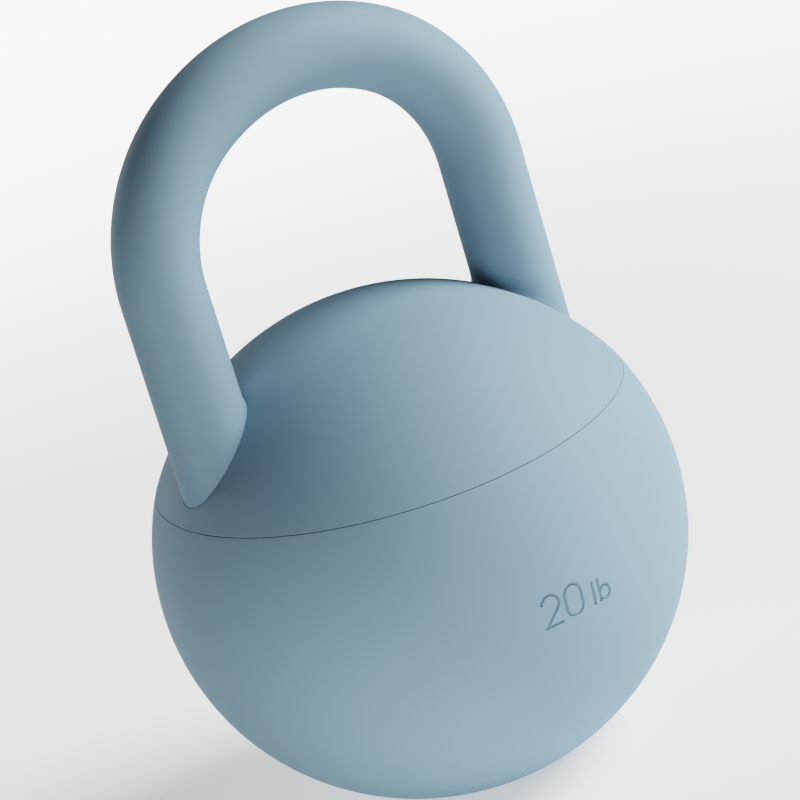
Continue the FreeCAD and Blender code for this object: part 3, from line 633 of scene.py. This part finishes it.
def steel(name, colour, roughness, stretch):
    """Drawn or plated steel: fine marks, longer where the stretch is small, and an uneven finish."""
    material, nodes, links, shader = new_material(name)
    marks = noise(nodes, links, STEEL_MARK_SIZE, detail=4.0, stretch=stretch)
    tone = remap(nodes, links, marks, 0, 1)
    dark, light = (shade(colour, amount) for amount in STEEL_TONES)
    links.new(blend_colours(nodes, links, tone, dark, light), shader.inputs["Base Color"])
    smooth, rough = roughness - STEEL_ROUGHNESS_DOWN, roughness + STEEL_ROUGHNESS_UP
    links.new(remap(nodes, links, marks, smooth, rough), shader.inputs["Roughness"])
    links.new(bump(nodes, links, marks, STEEL_MARK_DEPTH, STEEL_MARK_STRENGTH), shader.inputs["Normal"])
    shader.inputs["Metallic"].default_value = 1.0
    return material


def finish_piece(piece, material, replaced=None):
    """Give a piece its material and, where it stands in for a CAD part, the body that carries it, and hide
    that part.
    """
    piece.data.materials.clear()
    piece.data.materials.append(material)
    if replaced:
        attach(piece, "root")
        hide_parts(replaced)


# ---------------------------------------------------------------------------------------------
# camera, light and floor

VIEW_AZIMUTH = math.radians(-26.805)
VIEW_ELEVATION = math.radians(20.544)
VIEW_DISTANCE = 1.35052
VIEW_AIM = Vector((0.01380, 0.01069, 0.13846))
VIEW_LEAN = math.radians(16.873)
LENS = 162.76
SENSOR_WIDTH = 36.0
CLIP = (0.05, 50)

# soft lights seen from the belly of the ball: name, azimuth, elevation, (width, height), power
LIGHT_DISTANCE = 2.2
LIGHTS = [
    ("key", 71, 34, (1.3, 1.3), 67),
    ("back", -165, 16, (1.3, 1.3), 17),
    ("low_left", -40, 3, (0.88, 0.4), 13.8),
    ("low_front", 0, 3, (0.88, 0.4), 5.3),
]
# the floor is solid out to its fade, and gone at its end
FLOOR_TONES = ((0.90, 0.90, 0.90), (0.92, 0.92, 0.92))
FLOOR_TONE_SIZE = 0.4
FLOOR_ROUGHNESS = 0.9
FLOOR_GLOW = 0.32
FLOOR_FADE = 0.4
FLOOR_END = 1.5
FLOOR_COUNT = 96
# how bright the backdrop looks, and how bright it is as a light
BACKDROP_COLOUR = (0.97, 0.985, 1.0, 1)
BACKDROP_TONE = 3.0
WORLD_LIGHT = 0.012


def make_camera():
    """The camera stands round the belly of the ball, and leans to one side."""
    back = Vector((math.sin(VIEW_AZIMUTH) * math.cos(VIEW_ELEVATION),
                   -math.cos(VIEW_AZIMUTH) * math.cos(VIEW_ELEVATION),
                   math.sin(VIEW_ELEVATION)))
    place = Vector((0, 0, BELLY_HEIGHT)) + back * VIEW_DISTANCE
    forward = (VIEW_AIM - place).normalized()
    level = forward.cross(Vector((0, 0, 1))).normalized()
    upright = level.cross(forward)
    up = upright * math.cos(VIEW_LEAN) + level * math.sin(VIEW_LEAN)
    right = forward.cross(up)
    data = bpy.data.cameras.new("camera")
    data.sensor_width = SENSOR_WIDTH
    data.lens = LENS
    data.clip_start, data.clip_end = CLIP
    camera = bpy.data.objects.new("camera", data)
    bpy.context.scene.collection.objects.link(camera)
    camera.matrix_world = Matrix.Translation(place) @ Matrix((right, up, -forward)).transposed().to_4x4()
    bpy.context.scene.camera = camera


def make_lights():
    """Large soft lights on the right and behind, and low ones in front, none of them in view."""
    belly = Vector((0, 0, BELLY_HEIGHT))
    for name, azimuth, elevation, size, power in LIGHTS:
        azimuth, elevation = math.radians(azimuth), math.radians(elevation)
        level = math.cos(elevation)
        back = Vector((level * math.sin(azimuth), -level * math.cos(azimuth), math.sin(elevation)))
        data = bpy.data.lights.new(name, "AREA")
        data.shape = "RECTANGLE"
        data.size, data.size_y = size
        data.energy = power
        light = bpy.data.objects.new(name, data)
        light.location = belly + back * LIGHT_DISTANCE
        light.rotation_mode = "QUATERNION"
        light.rotation_quaternion = (-back).to_track_quat("-Z", "Y")
        light.visible_camera = False
        bpy.context.scene.collection.objects.link(light)


def make_floor():
    """A plain pale floor, which glows a little and fades out into the backdrop."""
    points = ring((0, 0), FLOOR_END, FLOOR_COUNT)
    points = np.concatenate([points, np.zeros((len(points), 1))], axis=1)
    floor = new_object("floor", points, [list(range(len(points)))])
    material, nodes, links, shader = new_material("floor")
    tone = remap(nodes, links, noise(nodes, links, FLOOR_TONE_SIZE), 0, 1)
    links.new(blend_colours(nodes, links, tone, *FLOOR_TONES), shader.inputs["Base Color"])
    shader.inputs["Roughness"].default_value = FLOOR_ROUGHNESS
    shader.inputs["Emission Color"].default_value = (1, 1, 1, 1)
    shader.inputs["Emission Strength"].default_value = FLOOR_GLOW

    place = nodes.new("ShaderNodeTexCoord")
    reach = nodes.new("ShaderNodeVectorMath")
    reach.operation = "LENGTH"
    links.new(place.outputs["Object"], reach.inputs[0])
    fade = nodes.new("ShaderNodeMapRange")
    fade.interpolation_type = "SMOOTHSTEP"
    fade.inputs["From Min"].default_value = FLOOR_FADE
    fade.inputs["From Max"].default_value = FLOOR_END
    fade.inputs["To Min"].default_value = 1.0
    fade.inputs["To Max"].default_value = 0.0
    links.new(reach.outputs["Value"], fade.inputs["Value"])
    links.new(fade.outputs["Result"], shader.inputs["Alpha"])
    floor.data.materials.append(material)


def make_world():
    """A pale backdrop to look at, which gives the object itself only a faint even light."""
    world = bpy.data.worlds.new("world")
    world.use_nodes = True
    nodes, links = world.node_tree.nodes, world.node_tree.links
    background = nodes["Background"]
    background.inputs["Color"].default_value = BACKDROP_COLOUR
    rays = nodes.new("ShaderNodeLightPath")
    strength = nodes.new("ShaderNodeMapRange")
    strength.inputs["To Min"].default_value = WORLD_LIGHT
    strength.inputs["To Max"].default_value = BACKDROP_TONE
    links.new(rays.outputs["Is Camera Ray"], strength.inputs["Value"])
    links.new(strength.outputs["Result"], background.inputs["Strength"])
    bpy.context.scene.world = world


# ---------------------------------------------------------------------------------------------
# the scene

SKIN_COLOUR = (0.235, 0.33, 0.40)
# the grip is the same silicone as the skins; its colour is 8 per cent darker as painted shade, so the
# handle looks less lit than the ball
GRIP_COLOUR_WITH_PAINTED_SHADE = shade(SKIN_COLOUR, 0.92)

make_camera()
finish_piece(make_lower_skin(), soft_touch("bowl_skin", SKIN_COLOUR), "lower_skin")
finish_piece(make_upper_skin(), soft_touch("dome_skin", SKIN_COLOUR), "upper_skin")
finish_piece(make_grip(), soft_touch("grip_skin", GRIP_COLOUR_WITH_PAINTED_SHADE), "handle_grip")
pad_rubber = speckled("pad_rubber", (0.10, 0.13, 0.15), 0.6 * MM, 0.2, 0.8, 0.03 * MM)
finish_piece(make_pad(), pad_rubber, "base_pad")

INNER_MATERIALS = {
    "liner_plastic": speckled("liner_plastic", (0.22, 0.28, 0.32), 1.2 * MM, 0.06, 0.6, 0.02 * MM),
    "seal_rubber": speckled("seal_rubber", (0.05, 0.07, 0.08), 0.5 * MM, 0.2, 0.75, 0.02 * MM),
    "tube_plastic": speckled("tube_plastic", (0.75, 0.75, 0.72), 1.0 * MM, 0.04, 0.45, 0.01 * MM),
    "ballast_stone": speckled("ballast_stone", (0.16, 0.15, 0.14), 1.4 * MM, 0.45, 0.9, 0.25 * MM),
    "bare_steel": steel("bare_steel", (0.55, 0.55, 0.55), 0.35, (1, 1, 0.05)),
    "zinc_steel": steel("zinc_steel", (0.62, 0.63, 0.65), 0.28, (0.4, 0.4, 0.4)),
}
for entry in frame["record"]["subparts"]:
    node, slot = entry["node"], entry["material_slot"]
    if slot in INNER_MATERIALS:
        finish_piece(frame["nodes"][node], INNER_MATERIALS[slot])

make_floor()
make_world()
make_lights()
bpy.context.scene.view_settings.view_transform = "Filmic"
bpy.context.scene.view_settings.look = "Very High Contrast"
